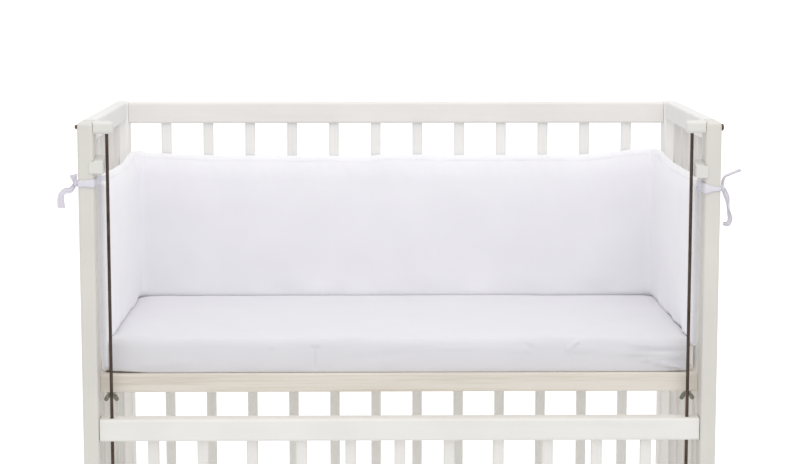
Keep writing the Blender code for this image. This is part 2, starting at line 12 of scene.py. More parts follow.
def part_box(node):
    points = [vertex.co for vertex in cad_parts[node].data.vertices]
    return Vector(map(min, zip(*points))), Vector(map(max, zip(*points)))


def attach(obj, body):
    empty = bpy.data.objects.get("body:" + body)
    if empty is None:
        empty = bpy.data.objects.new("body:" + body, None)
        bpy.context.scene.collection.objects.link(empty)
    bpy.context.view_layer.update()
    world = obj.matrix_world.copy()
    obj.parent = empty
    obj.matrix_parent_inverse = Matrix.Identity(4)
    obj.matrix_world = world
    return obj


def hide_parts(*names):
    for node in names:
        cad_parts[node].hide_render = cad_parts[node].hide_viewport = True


BODY = "root"
GAP = 0.0003

# Camera
CAMERA_PLACE = (-0.04076, -3.27885, 1.06665)
CAMERA_PITCH_DOWN = 7.551
CAMERA_YAW = -0.766
CAMERA_LENS = 91.70
CAMERA_SENSOR = 36.0

# Light
SKY_LIGHT = 0.88
SKY_SEEN = 1.0
KEY_PLACE = (0.20, -1.1, 3.05)
KEY_SIZE = 2.6
KEY_POWER = 27.0
KEY_AIM = (0, 0, 0.5)
LOW_PLACE = (0.0, 0.13, 0.012)
LOW_SIZE = (0.86, 0.12)
LOW_POWER = 0.26
FLOOR_SHADE = 0.94
FLOOR_SEEN_GLOW = 0.35
FLOOR_HALF = 150.0

# Colours, from 0 to 255. The crib's white paint comes in lighter and darker copies, one for each group of
# pieces, as painted light and shade: the posts' and the end bars' copies are painted shade. The other
# colours are as the things look in daylight.
POST_PAINT_SHADED = (217, 214, 208)
BACK_POST_PAINT = (240, 238, 235)
BACK_PAINT = (232, 229, 225)
BAR_PAINT = (238, 237, 234)
SIDE_PAINT = (233, 231, 227)
END_PAINT = (231, 230, 228)
# painted shade: the end bars' copy of the white paint is darker for the shade between them
END_BAR_PAINT_SHADED = (221, 218, 214)
BLOCK_PAINT = (221, 220, 215)
WOOD_LIGHT = (226, 220, 211)
WOOD_DARK = (212, 203, 191)
STEEL = (92, 78, 70)
ZINC = (150, 152, 138)
PAD_COTTON = (239, 238, 242)
SHEET_COTTON = (220, 219, 223)
TAPE_COTTON = (221, 218, 227)
THREAD = (235, 234, 238)

# Finishes of the crib's pieces, by the first of these words that is in a piece's name
FINISH_OF_WORD = {
    "post_back": "back_post",
    "post": "post",
    "block": "block",
    "base": "wood",
    "rod": "rod",
    "wing_nut": "zinc",
}

# Crib sizes that the soft pieces lean on
POST_WIDTH = 0.0235
POST_DEPTH = 0.045
BAR_WIDTH = 0.017
END_BARS = 4
BACK_BARS = 12

# Bumper
PAD_CORNER = 0.032
PAD_SEAT = 0.450
# the flat edge outside the topstitching: its width, half thickness, rolled rim and place in the depth
PAD_SEAM = 0.0090
PAD_SEAM_HALF = 0.0016
PAD_SEAM_LEAST = 0.0002
PAD_RIM_HALF = 0.0022
PAD_RIM_OVERRUN = 1.01
PAD_SEAM_MIDDLE = 0.0048
PAD_SEAM_FORWARD = 0.0017
PAD_SEAM_LEAN = 0.0050
PAD_SEAM_SPREAD = 0.006
# how high up, as shares, the flat edge comes forward and leans, and the share of its width it leans about
PAD_FORWARD_START = 0.3
PAD_FORWARD_OVER = 0.4
PAD_LEAN_START = 0.8
PAD_LEAN_OVER = 0.1
PAD_LEAN_ABOUT = 0.6
# how fast the filling swells inside the seam, and the gathers beside it: reach, slant and middle height
PAD_SWELL = 0.013
PAD_PUCKER_FADE = 0.020
PAD_PUCKER_SLANT = 0.35
PAD_PUCKER_LEVEL = 0.7
# the wings' front ends: corner, thickness, roundness, and how far they reach and fade into the rest
PAD_END_CORNER = 0.012
PAD_END_THICK = 0.0148
PAD_END_ROUND = 0.0075
PAD_END_TOP = 0.008
PAD_END_REACH = 0.025
PAD_END_FADE = 0.020
PAD_END_FULL = 0.004
PAD_END_EASE = 0.012
PAD_END_LEAST = 0.0001
# how far the pad bulges out between two bars, how steeply, and how near the back line and off its ends
PAD_BULGE = 0.0022
PAD_BULGE_STEEP = 1.6
PAD_BACK_NEAR = 0.001
PAD_BACK_MARGIN = 0.01
# shares of the height where the mattress lets go of the pad, and over which its own form comes in
PAD_LAP_RISE = 0.18
PAD_LAP_SPREAD = 0.06
PAD_FREE_RISE = 0.165
PAD_FREE_FADE = 0.10
# distances of the mesh's rows from every edge, and the number of rows between them and along each stretch
PAD_EDGE_STEPS = (0.0, 0.0004, 0.0012, 0.0025, 0.0042, 0.0060, 0.0075, 0.0085, 0.0090, 0.0096, 0.0108,
                  0.0126, 0.0150, 0.0185, 0.0235, 0.0300)
PAD_ROWS = 44
PAD_WING_COLUMNS = 44
PAD_CORNER_COLUMNS = 30
PAD_BACK_COLUMNS = 130
PAD_CORNER_MARGIN = 0.01
# how thick the pad is from its bottom edge (0) to its top edge (1)
PAD_THICKNESS = [
    dict(rise=0.000, thick=0.0088),
    dict(rise=0.120, thick=0.0088),
    dict(rise=0.140, thick=0.0094),
    dict(rise=0.149, thick=0.0118),
    dict(rise=0.155, thick=0.0158),
    dict(rise=0.160, thick=0.0182),
    dict(rise=0.170, thick=0.0188),
    dict(rise=0.220, thick=0.0186),
    dict(rise=0.300, thick=0.0184),
    dict(rise=0.500, thick=0.0190),
    dict(rise=0.700, thick=0.0190),
    dict(rise=0.860, thick=0.0178),
    dict(rise=1.000, thick=0.0152),
]
# the top and bottom edge along the pad, from the left front end (0) to the right front end (1)
PAD_TOP = [
    dict(along=0.0000, high=0.7445),
    dict(along=0.0120, high=0.7445),
    dict(along=0.0300, high=0.7437),
    dict(along=0.0900, high=0.7400),
    dict(along=0.1600, high=0.7370),
    dict(along=0.2150, high=0.7432),
    dict(along=0.2340, high=0.7463),
    dict(along=0.2425, high=0.7460),
    dict(along=0.2470, high=0.7424),
    dict(along=0.2610, high=0.7418),
    dict(along=0.2780, high=0.7392),
    dict(along=0.2980, high=0.7390),
    dict(along=0.3200, high=0.7376),
    dict(along=0.3900, high=0.7369),
    dict(along=0.4300, high=0.7365),
    dict(along=0.4690, high=0.7361),
    dict(along=0.4860, high=0.7386),
    dict(along=0.5290, high=0.7386),
    dict(along=0.5400, high=0.7373),
    dict(along=0.5760, high=0.7371),
    dict(along=0.5900, high=0.7381),
    dict(along=0.6170, high=0.7382),
    dict(along=0.6290, high=0.7373),
    dict(along=0.6580, high=0.7382),
    dict(along=0.6820, high=0.7382),
    dict(along=0.6990, high=0.7396),
    dict(along=0.7100, high=0.7414),
    dict(along=0.7200, high=0.7434),
    dict(along=0.7400, high=0.7467),
    dict(along=0.7500, high=0.7479),
    dict(along=0.7610, high=0.7486),
    dict(along=0.7900, high=0.7420),
    dict(along=0.8500, high=0.7385),
    dict(along=0.9200, high=0.7400),
    dict(along=0.9800, high=0.7425),
    dict(along=1.0000, high=0.7425),
]
PAD_BOTTOM = [
    dict(along=0.0000, high=0.4408),
    dict(along=0.0120, high=0.4408),
    dict(along=0.0300, high=0.4500),
    dict(along=0.8500, high=0.4500),
    dict(along=0.9200, high=0.4560),
    dict(along=0.9800, high=0.4740),
    dict(along=1.0000, high=0.4800),
]

# soft unevenness, in layers of noise: height, pace along each axis, and shift. The rim's height is a share.
PAD_TOP_WAVES = [
    dict(high=0.0005, pace=(17, 0, 0), shift=(0, 2.3, 7.7)),
    dict(high=0.0006, pace=(52, 0, 0), shift=(0, 1.3, 4.1)),
]
PAD_SEAM_WAVES = [dict(high=0.0022, pace=(26, 0, 0), shift=(0, 6.2, 0.4))]
PAD_RIM_WAVES = [dict(high=0.55, pace=(36, 0, 0), shift=(0, 4.4, 0.7))]
PAD_PUCKERS = [
    dict(high=0.0013, pace=(55, 9, 0), shift=(0, 0, 3.1)),
    dict(high=0.0009, pace=(120, 14, 0), shift=(0, 0, 8.4)),
]
PAD_HOLLOWS = [
    dict(high=0.0016, pace=(6.5, 7.5, 0), shift=(0, 0, 1.7)),
    dict(high=0.0007, pace=(19, 15, 0), shift=(0, 0, 5.2)),
    dict(high=0.00025, pace=(48, 42, 0), shift=(0, 0, 9.9)),
]
PAD_LAP_WAVES = [dict(high=0.0046, pace=(19, 5, 0), shift=(0, 0, 2.9))]

# how far a fold reaches, in half widths, and how it fades in from its ends: pace and start
FOLD_REACH = 3
FOLD_FADE_PACE = 5
FOLD_FADE_START = 0.25
# creases on the pad's inner face: distance along and height of both ends, how far out, half width
PAD_CREASES = [
    ((0.3980, 0.7440), (0.4010, 0.7290), -0.0016, 0.0022),
    ((0.4060, 0.7420), (0.4075, 0.7240), -0.0013, 0.0020),
    ((1.2960, 0.7470), (1.3010, 0.7240), -0.0022, 0.0026),
    ((1.3060, 0.7460), (1.3100, 0.7200), -0.0020, 0.0024),
    ((1.3180, 0.7430), (1.3150, 0.7230), -0.0013, 0.0022),
    ((1.2780, 0.7440), (1.2840, 0.7330), -0.0010, 0.0020),
]

# Stitches of the topstitched edge
STITCH_LENGTH = 0.0028
STITCH_PITCH = 0.0038
STITCH_RADIUS = 0.00032
STITCH_CORNERS = 6
# shares of the stitch's length, with its lift and its width there as shares of the radius
STITCH_PROFILE = [(0.0, -0.7, 0.5), (0.2, 0.35, 0.95), (0.5, 0.6, 1.0), (0.8, 0.35, 0.95), (1.0, -0.7, 0.5)]

# Mattress in its fitted sheet: height above the base, and how far the outline is drawn in there
SHEET_PROFILE = [
    dict(height=0.0000, front=0.0016, side=0.0100),
    dict(height=0.0004, front=0.0006, side=0.0050),
    dict(height=0.0016, front=0.0001, side=0.0030),
    dict(height=0.0050, front=0.0000, side=0.0012),
    dict(height=0.0110, front=0.0000, side=0.0000),
    dict(height=0.0250, front=0.0000, side=0.0000),
    dict(height=0.0390, front=0.0006, side=0.0000),
    dict(height=0.0465, front=0.0024, side=0.0003),
    dict(height=0.0512, front=0.0058, side=0.0020),
    dict(height=0.0538, front=0.0105, side=0.0046),
    dict(height=0.0551, front=0.0170, side=0.0092),
    dict(height=0.0560, front=0.0420, side=0.0230),
    dict(height=0.0564, front=0.0900, side=0.0800),
]
SHEET_FRONT_CORNER = 0.0065
SHEET_BACK_CORNER = 0.027
SHEET_LEAST_CORNER = 0.003
SHEET_CELLS = (440, 40)
SHEET_ROWS = 3
# heights and depths over which the front's folds and waves come and go
SHEET_HELD = 0.008
SHEET_FOLD_REACH = 0.03
SHEET_FRONT_REACH = 0.05
SHEET_UPPER_START = 0.025
SHEET_UPPER_OVER = 0.025
SHEET_LOWER_OVER = 0.030
# folds on the sheet's front: place along the crib and height of both ends, how far out, half width
SHEET_FOLDS = [
    ((-0.1300, 0.0020), (-0.1301, 0.0390), -0.0022, 0.0026),
    ((-0.1390, 0.0384), (-0.1215, 0.0384), -0.0020, 0.0018),
    ((-0.3200, 0.0366), (-0.3050, 0.0364), 0.0010, 0.0014),
    ((-0.2040, 0.0346), (-0.1850, 0.0366), -0.0014, 0.0014),
    ((0.0500, 0.0392), (0.1543, 0.0370), 0.0011, 0.0016),
    ((0.1500, 0.0372), (0.2080, 0.0340), 0.0016, 0.0016),
    ((0.1930, 0.0455), (0.2080, 0.0345), -0.0014, 0.0022),
    ((0.2560, 0.0330), (0.2770, 0.0490), 0.0030, 0.0024),
    ((0.2620, 0.0345), (0.3470, 0.0312), 0.0028, 0.0020),
    ((0.3400, 0.0318), (0.4440, 0.0240), 0.0042, 0.0022),
    ((0.3500, 0.0370), (0.4460, 0.0320), -0.0026, 0.0030),
    ((0.3640, 0.0242), (0.4390, 0.0030), 0.0042, 0.0024),
    ((-0.4000, 0.0120), (-0.3100, 0.0180), 0.0009, 0.0050),
    ((-0.0900, 0.0200), (0.0100, 0.0300), -0.0010, 0.0060),
]
SHEET_WAVES = [
    dict(high=0.0011, pace=(7, 9, 9), shift=(0, 0, 0)),
    dict(high=0.00045, pace=(24, 20, 30), shift=(0, 0, 4)),
]
SHEET_EDGE_WAVES = [
    dict(high=0.0030, pace=(8.5, 0, 0), shift=(0, 0.3, 5.5)),
    dict(high=0.0016, pace=(27, 0, 0), shift=(0, 0.9, 1.5)),
]
# how far the lower edge lies up at both ends, from where along the crib and over what distance
SHEET_LIFTS = [
    dict(side=-1, high=0.0026, start=0.38, over=0.06),
    dict(side=1, high=0.0010, start=0.40, over=0.03),
]

# Ties
TAPE_THICK = 0.0008
TAPE_WIDTH = 0.0135
TAPE_COLUMNS = 13
TAPE_SMOOTH = 8
# a lengthwise fold's depth is the width that it takes up divided by this
TAPE_FOLD_DIVISOR = 4.6
# waves of a free end and of the band: height, and pace along and across the tape
TAPE_WAVE = 0.0004
TAPE_WAVE_PACE = 160
TAPE_WAVE_ACROSS = 1.4
BAND_WAVE = 0.0005
BAND_WAVE_PACE = 150
BAND_CORNER = 0.0045
BAND_CELLS = (24, 40)
BAND_COLUMNS = 5
BAND_SQUARE = 8
BAND_DRAW = 2.2
# how far the band stands off the post, in half thicknesses
BAND_OFF = 0.3
KNOT_RADIUS = 0.0046
KNOT_SHAPE = (0.72, 1.0, 1.15)
KNOT_BEHIND_FRONT = 0.008
KNOT_SINK = 0.75
KNOT_RIDGE = 0.13
KNOT_RIDGE_PACE = (700, 1900)
# the tape's sewn end: how far it lies inwards of the post's inner face and behind the post's back face
TAB_ROUTE = [
    dict(inwards=0.0008, behind=-0.0120),
    dict(inwards=0.0009, behind=-0.0010),
    dict(inwards=0.0030, behind=0.0022),
    dict(inwards=0.0062, behind=0.0055),
    dict(inwards=0.0088, behind=0.0110),
    dict(inwards=0.0098, behind=0.0160),
]
TAB_SMOOTH = 5
# free ends from the knot on: place beside the post's outer face, in front of the knot, above the knot,
# the tape's width, and its turn about its own run in degrees
TIE_LEFT_UP = [
    dict(out=0.0008, front=0.0012, up=-0.0005, width=0.0040, turn=4),
    dict(out=0.0022, front=0.0020, up=0.0060, width=0.0080, turn=10),
    dict(out=0.0032, front=0.0035, up=0.0135, width=0.0124, turn=15),
]
TIE_LEFT_DOWN = [
    dict(out=0.0006, front=-0.0008, up=0.0004, width=0.0045, turn=-5),
    dict(out=0.0075, front=0.0020, up=-0.0100, width=0.0085, turn=10),
    dict(out=0.0165, front=0.0030, up=-0.0120, width=0.0095, turn=35),
    dict(out=0.0222, front=0.0030, up=-0.0205, width=0.0108, turn=25),
    dict(out=0.0220, front=0.0020, up=-0.0370, width=0.0120, turn=10),
]
TIE_RIGHT_UP = [
    dict(out=0.0005, front=-0.001, up=0.0000, width=0.0045, turn=40),
    dict(out=0.0012, front=-0.008, up=0.0085, width=0.0045, turn=60),
    dict(out=0.0040, front=-0.008, up=0.0165, width=0.0050, turn=75),
    dict(out=0.0115, front=-0.005, up=0.0212, width=0.0055, turn=70),
    dict(out=0.0265, front=-0.001, up=0.0285, width=0.0060, turn=60),
]
TIE_RIGHT_DOWN = [
    dict(out=0.0010, front=0.000, up=0.0000, width=0.0055, turn=0),
    dict(out=0.0048, front=0.002, up=-0.0090, width=0.0085, turn=15),
    dict(out=0.0077, front=0.003, up=-0.0170, width=0.0075, turn=40),
    dict(out=0.0085, front=0.003, up=-0.0255, width=0.0045, turn=75),
    dict(out=0.0105, front=0.002, up=-0.0360, width=0.0060, turn=40),
    dict(out=0.0122, front=0.001, up=-0.0455, width=0.0075, turn=20),
    dict(out=0.0090, front=0.001, up=-0.0535, width=0.0075, turn=8),
    dict(out=0.0015, front=0.001, up=-0.0530, width=0.0055, turn=5),
]

# each tie: its side, its height, the band's width at the post's inner and outer face, and its free ends
TIES = {
    "left": dict(sx=-1, z=0.7378, band=(0.0136, 0.0098), ends=(TIE_LEFT_UP, TIE_LEFT_DOWN)),
    "right": dict(sx=1, z=0.7285, band=(0.0175, 0.0060), ends=(TIE_RIGHT_UP, TIE_RIGHT_DOWN)),
}

# Bolt heads on the front posts' outer faces
BOLTS = {
    "left": dict(sx=-1, z=0.8220, radius=0.0034),
    "right": dict(sx=1, z=0.8205, radius=0.0052),
}
BOLT_BEHIND_FRONT = 0.011
BOLT_CORNERS = 24
# how far a head stands out, and its width there as a share of the radius
BOLT_PROFILE = [(0.0002, 1.0), (0.0018, 1.0), (0.0029, 0.94), (0.0037, 0.78), (0.0042, 0.48)]


def place_camera():
    data = bpy.data.cameras.new("camera")
    data.lens = CAMERA_LENS
    data.sensor_width = CAMERA_SENSOR
    camera = bpy.data.objects.new("camera", data)
    camera.location = CAMERA_PLACE
    camera.rotation_euler = (math.radians(90 - CAMERA_PITCH_DOWN), 0, math.radians(CAMERA_YAW))
    bpy.context.scene.collection.objects.link(camera)
    bpy.context.scene.camera = camera


def build_floor():
    """A pale floor with a faint glow that only the camera sees."""
    bm = bmesh.new()
    bmesh.ops.create_grid(bm, x_segments=4, y_segments=4, size=FLOOR_HALF)
    mesh = bpy.data.meshes.new("floor")
    bm.to_mesh(mesh)
    bm.free()
    floor = bpy.data.objects.new("floor", mesh)
    bpy.context.scene.collection.objects.link(floor)
    mat = bpy.data.materials.new("floor")
    mat.use_nodes = True
    shader = mat.node_tree.nodes["Principled BSDF"]
    shader.inputs["Base Color"].default_value = (FLOOR_SHADE, FLOOR_SHADE, FLOOR_SHADE, 1)
    shader.inputs["Roughness"].default_value = 1.0
    shader.inputs["Specular IOR Level"].default_value = 0.0
    shader.inputs["Emission Color"].default_value = (1, 1, 1, 1)
    glow = mat.node_tree.nodes.new("ShaderNodeMapRange")
    glow.inputs["To Min"].default_value = 0.0
    glow.inputs["To Max"].default_value = FLOOR_SEEN_GLOW
    seen = mat.node_tree.nodes.new("ShaderNodeLightPath")
    mat.node_tree.links.new(seen.outputs["Is Camera Ray"], glow.inputs["Value"])
    mat.node_tree.links.new(glow.outputs["Result"], shader.inputs["Emission Strength"])
    mesh.materials.append(mat)


def build_sky():
    """Even light from all round, which the camera sees as white."""
    world = bpy.data.worlds.new("studio")
    world.use_nodes = True
    tree = world.node_tree
    background = tree.nodes["Background"]
    background.inputs["Color"].default_value = (1, 1, 1, 1)
    rays = tree.nodes.new("ShaderNodeLightPath")
    strength = tree.nodes.new("ShaderNodeMapRange")
    strength.inputs["To Min"].default_value = SKY_LIGHT
    strength.inputs["To Max"].default_value = SKY_SEEN
    tree.links.new(rays.outputs["Is Camera Ray"], strength.inputs["Value"])
    tree.links.new(strength.outputs["Result"], background.inputs["Strength"])
    bpy.context.scene.world = world
    bpy.context.scene.view_settings.view_transform = "Standard"


def add_light(name, shape, sizes, power, place, turn):
    data = bpy.data.lights.new(name, "AREA")
    data.shape = shape
    data.size, data.size_y = sizes
    data.energy = power
    light = bpy.data.objects.new(name, data)
    light.location = place
    light.rotation_euler = turn
    bpy.context.scene.collection.objects.link(light)
    return light


def build_lights():
    """A broad soft light above the front, and a faint one from the floor under the crib."""
    towards = Vector(KEY_AIM) - Vector(KEY_PLACE)
    turn = towards.to_track_quat("-Z", "Y").to_euler()
    add_light("key", "DISK", (KEY_SIZE, KEY_SIZE), KEY_POWER, KEY_PLACE, turn)
    low = add_light("low", "RECTANGLE", LOW_SIZE, LOW_POWER, LOW_PLACE, (math.pi, 0, 0))
    low.visible_camera = False


def linear(colour, factor=1.0):
    """A colour from 0 to 255 as the shader's linear values."""
    out = []
    for value in colour:
        share = value / 255
        out.append(factor * (share / 12.92 if share <= 0.04045 else ((share + 0.055) / 1.055) ** 2.4))
    return (*out, 1.0)


class Finish:
    """A material under construction, with short calls for the nodes that it needs."""

    def __init__(self, name, roughness, metallic=0.0, specular=0.5, sheen=0.0):
        self.mat = bpy.data.materials.new(name)
        self.mat.use_nodes = True
        self.tree = self.mat.node_tree
        self.shader = self.tree.nodes["Principled BSDF"]
        self.shader.inputs["Roughness"].default_value = roughness
        self.shader.inputs["Metallic"].default_value = metallic
        self.shader.inputs["Specular IOR Level"].default_value = specular
        self.shader.inputs["Sheen Weight"].default_value = sheen
        self.place = self.tree.nodes.new("ShaderNodeTexCoord").outputs["Object"]

    def node(self, kind, **values):
        node = self.tree.nodes.new(kind)
        for key, value in values.items():
            setattr(node, key, value)
        return node

    def link(self, output, node, socket):
        self.tree.links.new(output, node.inputs[socket])

    def stretched(self, scale):
        node = self.node("ShaderNodeMapping")
        node.inputs["Scale"].default_value = scale
        self.link(self.place, node, "Vector")
        return node.outputs["Vector"]

    def noise(self, scale, detail=2.0, stretch=(1, 1, 1), roughness=0.5):
        node = self.node("ShaderNodeTexNoise")
        node.inputs["Scale"].default_value = scale
        node.inputs["Detail"].default_value = detail
        node.inputs["Roughness"].default_value = roughness
        self.link(self.stretched(stretch), node, "Vector")
        return node.outputs["Fac"]

    def threads(self, axis, pitch):
        """Even threads that cross the axis."""
        node = self.node("ShaderNodeTexWave", bands_direction=axis, wave_type="BANDS", wave_profile="SIN")
        node.inputs["Scale"].default_value = math.pi / 10 / pitch
        node.inputs["Distortion"].default_value = 0.4
        node.inputs["Detail"].default_value = 0.0
        self.link(self.place, node, "Vector")
        return node.outputs["Fac"]

    def add(self, first, second):
        node = self.node("ShaderNodeMath", operation="ADD")
        self.link(first, node, 0)
        self.link(second, node, 1)
        return node.outputs["Value"]

    def ramp(self, fac, stops):
        node = self.node("ShaderNodeValToRGB")
        elements = node.color_ramp.elements
        while len(elements) < len(stops):
            elements.new(0.5)
        for element, (at, colour) in zip(elements, stops):
            element.position = at
            element.color = colour
        self.link(fac, node, "Fac")
        return node.outputs["Color"]

    def multiply(self, first, second):
        """One colour times another."""
        node = self.node("ShaderNodeMix", data_type="RGBA", blend_type="MULTIPLY")
        factor, first_colour, second_colour, colour = 0, 6, 7, 2
        node.inputs[factor].default_value = 1.0
        self.link(first, node, first_colour)
        self.link(second, node, second_colour)
        return node.outputs[colour]

    def colour(self, output):
        self.link(output, self.shader, "Base Color")

    def roughness(self, fac, low, high):
        node = self.node("ShaderNodeMapRange")
        node.inputs["To Min"].default_value = low
        node.inputs["To Max"].default_value = high
        self.link(fac, node, "Value")
        self.link(node.outputs["Result"], self.shader, "Roughness")

    def bump(self, height, distance, strength=1.0, before=None):
        node = self.node("ShaderNodeBump")
        node.inputs["Distance"].default_value = distance
        node.inputs["Strength"].default_value = strength
        self.link(height, node, "Height")
        if before is not None:
            self.link(before, node, "Normal")
        self.link(node.outputs["Normal"], self.shader, "Normal")
        return node.outputs["Normal"]


def stretched_along(axis, scale):
    """Texture scales that draw a pattern out along one axis."""
    return tuple(scale if letter == axis else 1.0 for letter in "XYZ")


def paint(name, colour, axis):
    """White paint brushed on wood: faint grain and brush marks along the piece, a soft unevenness."""
    finish = Finish(name, 0.45, specular=0.35)
    broad = finish.noise(9, 3)
    streaks = finish.noise(60, 4, stretched_along(axis, 0.05), 0.6)
    fine = finish.noise(400, 3, stretched_along(axis, 0.02), 0.6)
    tone = finish.ramp(broad, [(0.30, linear(colour, 0.965)), (0.70, linear(colour, 1.02))])
    dark = finish.ramp(streaks, [(0.30, (0.975, 0.972, 0.968, 1)), (0.52, (1, 1, 1, 1))])
    finish.colour(finish.multiply(tone, dark))
    finish.roughness(streaks, 0.36, 0.55)
    first = finish.bump(streaks, 0.0004, 0.5)
    finish.bump(fine, 0.00012, 0.5, first)
    return finish.mat


def cream_wood():
    """Bare, lightly sealed softwood with its grain along the crib."""
    finish = Finish("cream_wood_grain", 0.55, specular=0.3)
    rings = finish.noise(42, 5, (0.045, 1.0, 1.0), 0.62)
    fine = finish.noise(420, 3, (0.02, 1.0, 1.0), 0.6)
    broad = finish.noise(3.0, 2, (0.5, 1, 1))
    grain = finish.ramp(rings, [(0.30, linear(WOOD_DARK)), (0.46, linear(WOOD_LIGHT, 0.97)),
                                (0.62, linear(WOOD_LIGHT))])
    pores = finish.ramp(fine, [(0.34, (0.93, 0.90, 0.86, 1)), (0.50, (1, 1, 1, 1))])
    patch = finish.ramp(broad, [(0.30, (0.97, 0.965, 0.955, 1)), (0.70, (1, 1, 1, 1))])
    finish.colour(finish.multiply(finish.multiply(grain, pores), patch))
    finish.roughness(fine, 0.48, 0.68)
    first = finish.bump(rings, 0.0004, 0.35)
    finish.bump(fine, 0.0002, 0.5, first)
    return finish.mat


def metal(name, colour, roughness, spots):
    """Drawn or cast metal with faint drawing marks and stains."""
    finish = Finish(name, roughness, metallic=1.0)
    stains = finish.noise(spots, 4)
    marks = finish.noise(900, 2, (1, 1, 0.06))
    finish.colour(finish.ramp(stains, [(0.30, linear(colour, 0.62)), (0.68, linear(colour, 1.15))]))
    finish.roughness(stains, roughness - 0.08, roughness + 0.14)
    finish.bump(marks, 0.00005, 0.6)
    return finish.mat


def cotton(name, colour, pitch=0.0007, sheen=0.25, through=0.0):
    """Plain woven cotton: crossing threads, a few thicker yarns and a soft bloom."""
    finish = Finish(name, 0.9, specular=0.2, sheen=sheen)
    finish.shader.inputs["Sheen Roughness"].default_value = 0.6
    finish.shader.inputs["Subsurface Weight"].default_value = through
    finish.shader.inputs["Subsurface Radius"].default_value = (1, 1, 1)
    finish.shader.inputs["Subsurface Scale"].default_value = 0.006
    weave = finish.threads("X", pitch)
    for axis in "YZ":
        weave = finish.add(weave, finish.threads(axis, pitch))
    yarns = finish.noise(1400, 2, (1, 1, 0.03))
    cross_yarns = finish.noise(1400, 2, (0.03, 0.03, 1))
    slub = finish.add(yarns, cross_yarns)
    broad = finish.noise(14, 3)
    crumple = finish.noise(85, 4, roughness=0.55)
    tone = finish.ramp(broad, [(0.28, linear(colour, 0.982)), (0.72, linear(colour, 1.008))])
    thread = finish.ramp(slub, [(0.30, (0.975, 0.975, 0.98, 1)), (0.52, (1, 1, 1, 1))])
    finish.colour(finish.multiply(tone, thread))
    first = finish.bump(crumple, 0.0006, 0.30)
    second = finish.bump(slub, 0.00008, 0.5, first)
    finish.bump(weave, 0.00006, 0.5, second)
    return finish.mat


def smooth(share):
    share = min(max(share, 0.0), 1.0)
    return share * share * (3 - 2 * share)


def waves(layers, u, v=0.0, w=0.0):
    """The sum of a table's layers of noise at a place."""
    total = 0.0
    for layer in layers:
        spot = [at * pace + shift for at, pace, shift in zip((u, v, w), layer["pace"], layer["shift"])]
        total += layer["high"] * noise.noise(Vector(spot))
    return total


def read_table(rows, key, value, at):
    """The value at a place in a table of rows, smoothly between them."""
    if at <= rows[0][key]:
        return rows[0][value]
    for low, high in zip(rows, rows[1:]):
        if at <= high[key]:
            share = smooth((at - low[key]) / (high[key] - low[key]))
            return low[value] + (high[value] - low[value]) * share
    return rows[-1][value]


def smooth_rows(rows, per_row):
    """Rows added between those of a table, along a smooth curve through them."""
    out = []
    for i in range(len(rows) - 1):
        before = rows[max(i - 1, 0)]
        low, high = rows[i], rows[i + 1]
        after = rows[min(i + 2, len(rows) - 1)]
        for step in range(per_row):
            t = step / per_row
            row = {}
            for key in rows[0]:
                a, b, c, d = before[key], low[key], high[key], after[key]
                row[key] = 0.5 * (2 * b + (c - a) * t + (2 * a - 5 * b + 4 * c - d) * t * t
                                  + (3 * b - a - 3 * c + d) * t ** 3)
            out.append(row)
    out.append(dict(rows[-1]))
    return out


def new_piece(name, bm, mat, replaced=()):
    bmesh.ops.recalc_face_normals(bm, faces=bm.faces)
    mesh = bpy.data.meshes.new(name)
    bm.to_mesh(mesh)
    bm.free()
    mesh.materials.append(mat)
    mesh.shade_smooth()
    obj = bpy.data.objects.new(name, mesh)
    bpy.context.scene.collection.objects.link(obj)
    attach(obj, BODY)
    if replaced:
        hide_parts(*replaced)
    return obj


def add_rings(bm, rings, closed=False):
    """A skin over rings of points, capped at both ends, or joined round if closed."""
    loops = [[bm.verts.new(point) for point in ring] for ring in rings]
    count = len(loops[0])
    pairs = list(zip(loops, loops[1:]))
    if closed:
        pairs.append((loops[-1], loops[0]))
    for near, far in pairs:
        for i in range(count):
            j = (i + 1) % count
            bm.faces.new((near[i], near[j], far[j], far[i]))
    if not closed:
        bm.faces.new(loops[0])
        bm.faces.new(loops[-1])


def add_double_skin(bm, front, back):
    """Two grids of points, rows of columns, joined round their rim into one closed skin."""
    grids = []
    for points in (front, back):
        grids.append([[bm.verts.new(point) for point in row] for row in points])
    rows, columns = len(front), len(front[0])
    for grid in grids:
        for i in range(rows - 1):
            for j in range(columns - 1):
                bm.faces.new((grid[i][j], grid[i + 1][j], grid[i + 1][j + 1], grid[i][j + 1]))
    near, far = grids
    for i in range(rows - 1):
        for j in (0, columns - 1):
            bm.faces.new((near[i][j], near[i + 1][j], far[i + 1][j], far[i][j]))
    for j in range(columns - 1):
        for i in (0, rows - 1):
            bm.faces.new((near[i][j], near[i][j + 1], far[i][j + 1], far[i][j]))


def folds_at(folds, u, v):
    """How far a table of folds lifts a surface at a place on it."""
    lift = 0.0
    for start, end, out, half in folds:
        reach = FOLD_REACH * half
        if not min(start[0], end[0]) - reach < u < max(start[0], end[0]) + reach:
            continue
        run = Vector(end) - Vector(start)
        offset = Vector((u, v)) - Vector(start)
        at = min(max(offset.dot(run) / run.length_squared, 0.0), 1.0)
        away = (offset - run * at).length
        fade = smooth(min(at, 1 - at) * FOLD_FADE_PACE + FOLD_FADE_START)
        lift += out * fade * math.exp(-(away / half) ** 2)
    return lift


